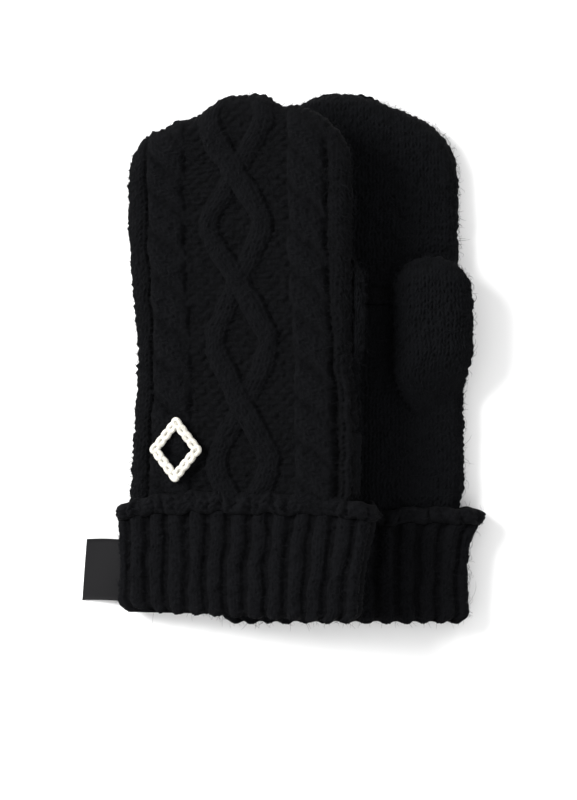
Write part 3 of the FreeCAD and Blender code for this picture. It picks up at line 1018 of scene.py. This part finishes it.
def make_cuff(mitten):
    """The turned-up cuff's ribs, and the rolled edge along their top."""
    cuff = mitten.cuff
    sizes = (CUFF_HALF, BACK, CUFF_PALM)

    def drape(u, v, w, normal_w, lift):
        """The sides lean out at the rolled edge, which rises in the middle, and the fold is rounded."""
        share = np.clip(v / ROLL_START, 0, 1)
        side = np.clip(np.abs(u) / CUFF_HALF, 0, 1.1)
        lean_out = np.where(u > 0, cuff.thumb_lean, cuff.outer_lean) * share**cuff.lean_power
        rounded = FOLD_ROUNDING * np.clip(1 - v / FOLD_LENGTH, 0, 1) ** 2
        out = (lean_out - rounded) * rising(side, start=0.35, length=0.65)
        wander = RIB_WANDER * soft_noise(u, v, size=12.0, seed=3) * np.sin(np.pi * share)
        wander = wander + 0.4 * soft_noise(u, v, size=4.0, seed=9)
        fanned = cuff.fan * np.clip(u - cuff.fan_from, 0, None) * share**FAN_POWER

        roll_share = np.clip((v - ROLL_START) / cuff.roll_height, 0, 1)
        drop = (cuff.roll_drop + cuff.roll_top_drop * roll_share) * side**2
        uneven_edge = ROLL_WANDER * soft_noise(u, normal_w, size=4.4, seed=5)
        rise = (cuff.roll_rise - drop + uneven_edge) * smoothstep(share)
        towards_outer = np.clip((FOLD_RISE_FROM - u) / FOLD_RISE_LENGTH, 0, 1)
        fold_rise = cuff.fold_rise * towards_outer * (1 - share)
        scallop = SCALLOP * np.clip(-lift, 0, RIB_DEPTH) * np.clip(1 - v / SCALLOP_LENGTH, 0, 1)

        proud = cuff.proud(u, normal_w) * (CUFF_PROUD + ROLL_PROUD * share)
        droop = SIDE_DROOP * fanned
        return (
            u + np.sign(u) * out + wander + fanned,
            v + rise + fold_rise + scallop,
            w + np.sign(normal_w) * proud - droop,
        )

    def ribs(u, v, normal_w, arc, length):
        """Rounded ribs of plain knitting, which thin out over the fold's lip."""
        ridge = rib_ridge(arc, length)
        column = length / round(length / RIB_PITCH) / RIB_COLUMNS
        across, along = handmade(arc, v, 41)
        stitch = v_stitches(arc + 0.5 * across, v + along, column)
        lip = 1 - smoothstep(v / LIP_LENGTH)
        thinned = (VALLEY_THINNED - RIDGE_SPARED * ridge) * lip**2
        return RIB_DEPTH * (ridge - 1) + STITCH_RELIEF * stitch * ridge + fuzz(arc, v) - thinned

    def lumps(u, v, normal_w, arc, length):
        """The rolled edge: one row of big uneven lumps over a low round band."""
        width = length / round(length / LUMP_WIDTH)
        share = (v - ROLL_START) / cuff.roll_height
        band = dome(2 * share - 1) ** 0.4
        across, along = handmade(arc, v, 23)
        at = (arc + LUMP_SHIFT[0] * across) / width
        x = LUMP_TIGHTNESS[0] * (np.mod(at, 1) - 0.5)
        y = LUMP_TIGHTNESS[1] * (share - 0.5) + LUMP_SHIFT[1] * along
        lump = np.clip(1 - x**2 - y**2, 0, 1) ** LUMP_FULLNESS
        size = LUMP_LEAST + LUMP_GAIN * uneven(np.floor(at), 4)
        swell = LUMP_SWELL * soft_noise(arc, v, size=3.6, seed=2)
        bumps = LUMP_BUMPS * moss_bumps(arc + across, v + along, column=1.5, row=2.4)
        height = ROLL_BULGE + swell + size * lump + bumps
        kept = ROLL_PRESSED + (1 - ROLL_PRESSED) * cuff.unpressed(u, normal_w)
        return band * height * kept + fuzz(arc, v) - ROLL_SUNK

    bands = (
        ("cuff_ribs", 0.0, ROLL_START, ribs, "cuff_turnup"),
        ("cuff_roll", ROLL_START, ROLL_START + cuff.roll_height, lumps, "cuff_rolled_edge"),
    )
    for name, start, end, relief, node in bands:
        band = knit_tube(mitten, name, sizes, start, end, relief, CUFF_LAYER, bend=drape)
        dress(band.piece, RIB_WOOL, "rib_wool", mitten.name("cuff"), mitten.name(node))
        dress(loose_fibres(band), HIGHLIT_LOOSE_WOOL, "rib_wool", mitten.name("cuff"))


def make_wrist(mitten):
    """The cuff's inner layer, which narrows where the hand's knitting starts."""
    inset = CUFF_LAYER + CUFF_GAP

    def ribs(u, v, normal_w, arc, length):
        """Shallow ribs that clear the turned-up layer."""
        count = round(length / RIB_PITCH)
        stitch = v_stitches(arc, v, length / count / WRIST_COLUMNS)
        tuck = WRIST_TUCK * rising(v, start=30, length=18)
        return WRIST_RIB * (ripple(arc, length, count) - 1) + WRIST_STITCH * stitch - WRIST_INSET - tuck

    sizes = (CUFF_HALF - inset, BACK - inset, CUFF_PALM - inset)
    wrist = knit_tube(mitten, "wrist_ribs", sizes, *WRIST_SPAN, ribs, WRIST_LAYER, sample=WRIST_SAMPLE)
    dress(wrist.piece, RIB_WOOL, "rib_wool", mitten.name("hand"), mitten.name("wrist_rib"))


def make_fingers(mitten):
    """Ribbed half fingers inside the cap, each where its CAD tube is."""
    for finger in FINGERS:
        low, high = box_mm(f"right_{finger}")
        middle = (low[0] + high[0]) / 2 - right.origin[0]
        start, end = low[1] - right.origin[1], high[1] - right.origin[1]
        sizes = ((high[0] - low[0]) / 2, right.origin[2] - low[2], high[2] - right.origin[2])

        def ribs(u, v, normal_w, arc, length):
            """Fine ribs with a cast-off rim near the open end."""
            count = round(length / FINGER_RIB_PITCH)
            rib = FINGER_RIB * (ripple(arc, length, count) - 1)
            stitch = FINGER_STITCH * v_stitches(arc, v, length / count / 2)
            cast_off = CAST_OFF_RIM * hump(v, end - CAST_OFF_FROM_END, width=1.0)
            return rib + stitch - FINGER_INSET + cast_off

        tube = knit_tube(
            mitten, f"{finger}_rib", sizes, start, end, ribs, FINGER_LAYER, middle, FINGER_SAMPLE
        )
        dress(tube.piece, RIB_WOOL, "rib_wool", mitten.name("hand"), mitten.name(finger))


# ---------------------------------------------------------------- motif and label

LINKS_PER_SIDE = 4
LINK_POINTS = 28
LINK_OVERLAP = 1.3
LINK_HALF_WIDTH = 1.7
YARN_RADIUS = 1.15
YARN_SIDES = 8
MOTIF_INSET = 2.2
MOTIF_HEIGHT = 3.9

# the label's slant, wave, cup and folded ends, and how much narrower its cloth is than its CAD box
LABEL_POINTS = (61, 37)
LABEL_NARROWER = 0.3
LABEL_SLANT = 2.0
LABEL_SUNK = 0.5
LABEL_WAVE = 0.35
LABEL_CUP = 0.35
LABEL_FOLD = 0.15
LABEL_FOLD_WIDTH = 0.03
LABEL_THICKNESS = 0.3


def tube_along(path):
    """Vertices and faces of a yarn along a closed path of points."""
    ahead = np.roll(path, -1, axis=0) - np.roll(path, 1, axis=0)
    ahead /= np.linalg.norm(ahead, axis=1)[:, None]
    side = np.cross(ahead, (0.0, 0.0, 1.0))
    side /= np.linalg.norm(side, axis=1)[:, None]
    lift = np.cross(side, ahead)
    angles = np.linspace(0, 2 * np.pi, YARN_SIDES, endpoint=False)
    ring = (
        path[:, None]
        + YARN_RADIUS * np.cos(angles)[None, :, None] * side[:, None]
        + YARN_RADIUS * np.sin(angles)[None, :, None] * lift[:, None]
    )
    index = np.arange(len(path) * YARN_SIDES).reshape(len(path), YARN_SIDES)
    return ring.reshape(-1, 3), quads(np.vstack([index, index[:1]]), wrap=True)


def chain_link(start, step):
    """A teardrop loop of yarn on the left back, from its start to a little past the next link's."""
    length = np.hypot(*step)
    ahead, aside = step / length, np.array((-step[1], step[0])) / length
    turn = np.linspace(0, 2 * np.pi, LINK_POINTS, endpoint=False)
    along = 0.5 * length * LINK_OVERLAP * (1 - np.cos(turn))
    width = LINK_HALF_WIDTH * np.sin(turn) * (0.4 + 0.6 * np.sin(turn / 2) ** 2)
    points = start + along[:, None] * ahead + width[:, None] * aside
    height = BACK + MOTIF_HEIGHT + 0.5 * np.sin(turn / 2)
    return tube_along(left.place(points[:, 0], points[:, 1], height) / MM)


def make_motif():
    """An open lozenge of chain stitch: teardrop links that follow one another round it."""
    low, high = box_mm("left_motif")
    middle = (low + high) / 2 - left.origin
    centre = np.array((middle @ left.across, middle[1]))
    wide = (high[0] - low[0]) / 2 / left.across[0] - MOTIF_INSET
    tall = (high[1] - low[1]) / 2 - MOTIF_INSET
    corners = centre + np.array([(wide, 0), (0, tall), (-wide, 0), (0, -tall)])
    vertices, faces = [], []
    for corner, following in zip(corners, np.roll(corners, -1, axis=0)):
        step = (following - corner) / LINKS_PER_SIDE
        for link in range(LINKS_PER_SIDE):
            ring, ring_faces = chain_link(corner + step * link, step)
            first = sum(map(len, vertices))
            faces += [[first + i for i in face] for face in ring_faces]
            vertices.append(ring * MM)
    mesh = bpy.data.meshes.new("left_motif_chain")
    mesh.from_pydata(np.concatenate(vertices), [], faces)
    face_outwards(mesh)
    motif = new_piece("left_motif_chain", mesh)
    dress(motif, CHAIN_YARN, "chain_yarn", "left_hand", "left_motif")


def make_label():
    """The small satin label: slightly cupped, with folded ends."""
    low, high = box_mm("left_label")
    root = hinge_mm("label_fold") - left.origin
    width = (high[0] - low[0]) / left.across[0] - LABEL_NARROWER
    start, end = low[1] - left.origin[1], high[1] - left.origin[1]
    rows, columns = LABEL_POINTS
    across = np.linspace(0, 1, columns)[None, :]
    along = np.linspace(0, 1, rows)[:, None]
    u = root @ left.across - width * across - LABEL_SLANT * across * (1 - along)
    v = start + (end - start) * along + LABEL_WAVE * np.sin(3 * across)
    base = root @ left.out - LABEL_SUNK
    bow = LABEL_CUP * np.sin(np.pi * across) * np.cos(2.2 * along)
    fold = LABEL_FOLD * (hump(along, 0, LABEL_FOLD_WIDTH) + hump(along, 1, LABEL_FOLD_WIDTH))
    outer = left.place(u, v, base + bow + fold)
    inner = left.place(u, v, base + bow - fold - LABEL_THICKNESS)
    label = shell_piece("left_label_satin", outer, inner, np.zeros_like(u))
    dress(label, satin(), "label_satin", "label", "left_label")


# ---------------------------------------------------------------- camera, floor and light

VIEW_WIDTH = 271.2
VIEW_CENTRE = (5.2, -18.3)
CAMERA_HEIGHT = 1600.0
FOCUS_HEIGHT = 12.0
SENSOR = 36.0
FRAME_RATIO = 800 / 577
FLOOR_REACH = 4.0
FLOOR_TONE = (0.86, 0.86, 0.86, 1)
SKY_STRENGTH = 1.05
# each lamp's name, place and size in metres, and power in watts
LAMPS = (
    ("key", (-0.95, 0.45, 0.8), 0.6, 32.0),
    ("fill", (0.8, -0.5, 1.2), 1.2, 3.0),
)


def make_camera():
    """The camera looks straight down at the pair."""
    camera = bpy.data.cameras.new("camera")
    camera.sensor_width = SENSOR
    view_height = VIEW_WIDTH * FRAME_RATIO
    camera.lens = SENSOR * (CAMERA_HEIGHT - FOCUS_HEIGHT) / view_height
    holder = bpy.data.objects.new("camera", camera)
    holder.location = (VIEW_CENTRE[0] * MM, VIEW_CENTRE[1] * MM, CAMERA_HEIGHT * MM)
    bpy.context.scene.collection.objects.link(holder)
    bpy.context.scene.camera = holder


def make_floor():
    """A pale floor that fills the view."""
    corners = ((-1, -1), (1, -1), (1, 1), (-1, 1))
    mesh = bpy.data.meshes.new("floor")
    mesh.from_pydata([(x * FLOOR_REACH, y * FLOOR_REACH, 0) for x, y in corners], [], [(0, 1, 2, 3)])
    floor = bpy.data.objects.new("floor", mesh)
    bpy.context.scene.collection.objects.link(floor)
    material, _, _, shader = new_material("pale_floor")
    shader.inputs["Base Color"].default_value = FLOOR_TONE
    shader.inputs["Roughness"].default_value = 0.8
    mesh.materials.append(material)


def make_light():
    """A white sky, a lamp at the upper left and a weak one opposite."""
    world = bpy.data.worlds.new("studio")
    world.use_nodes = True
    background = world.node_tree.nodes["Background"]
    background.inputs["Color"].default_value = (1, 1, 1, 1)
    background.inputs["Strength"].default_value = SKY_STRENGTH
    bpy.context.scene.world = world
    for name, place, size, power in LAMPS:
        light = bpy.data.lights.new(name, "AREA")
        light.size = size
        light.energy = power
        lamp = bpy.data.objects.new(name, light)
        lamp.location = place
        lamp.rotation_euler = Vector(-np.array(place)).to_track_quat("-Z", "Y").to_euler()
        bpy.context.scene.collection.objects.link(lamp)


bpy.context.scene.view_settings.view_transform = "Standard"
make_camera()
make_floor()
make_light()
for mitten in (right, left):
    make_back(mitten)
    make_palm(mitten)
    make_cuff(mitten)
    make_wrist(mitten)
    make_fingers(mitten)
make_thumb(right, THUMB_FREE_HEIGHT, 0.0)
make_thumb(left, THUMB_HEIGHT, THUMB_EDGE_LIFT)
make_motif()
make_label()
